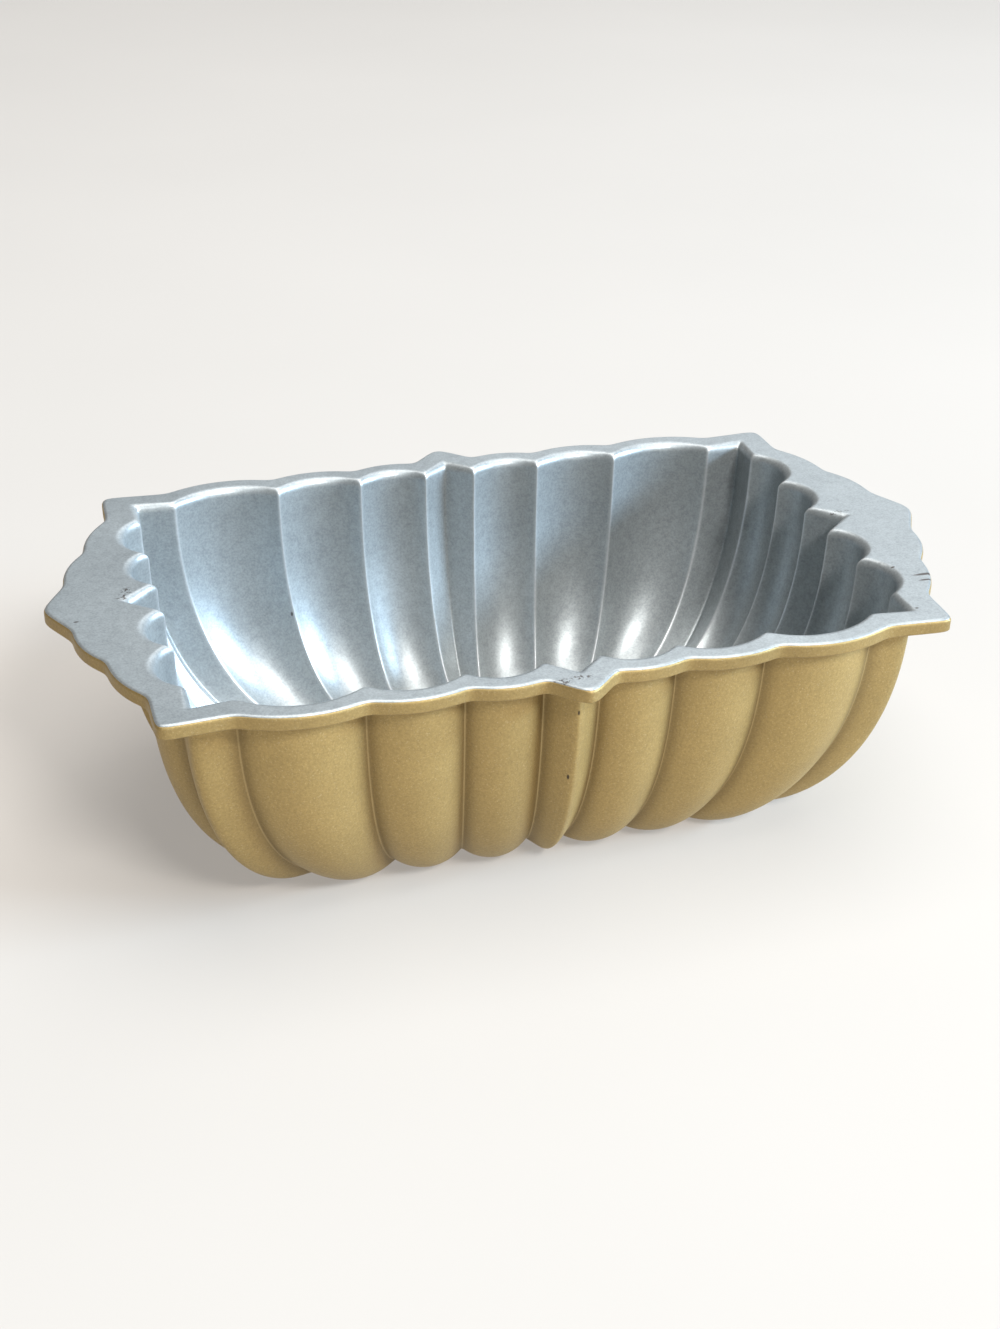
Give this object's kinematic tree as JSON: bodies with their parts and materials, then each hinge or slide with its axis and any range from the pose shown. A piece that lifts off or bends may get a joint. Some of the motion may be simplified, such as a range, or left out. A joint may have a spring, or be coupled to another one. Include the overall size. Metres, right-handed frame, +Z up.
{
  "type": "fluted loaf pan",
  "caption": "Cast aluminium loaf pan with fluted walls, ridged corners and ends, a flat scalloped rim that widens into two handles, a non-stick lining and a coloured outer coat.",
  "frame": {"origin": "centre of the flat that the pan stands on, on the table", "axes": "+X along the pan from handle to handle, +Y across it, +Z up through the open mouth"},
  "size_m": [0.2554, 0.1532, 0.0734],
  "materials": {
    "casting": "bare cast aluminium, lightly machined flat underneath",
    "lining": "satin silver-grey non-stick film with fine metallic flake",
    "coat": "matte metallic gold film with a sandy grain"
  },
  "bodies": {
    "root": {"cast_body": "casting", "nonstick_lining": "lining", "outer_coat": "coat"}
  },
  "joints": []
}
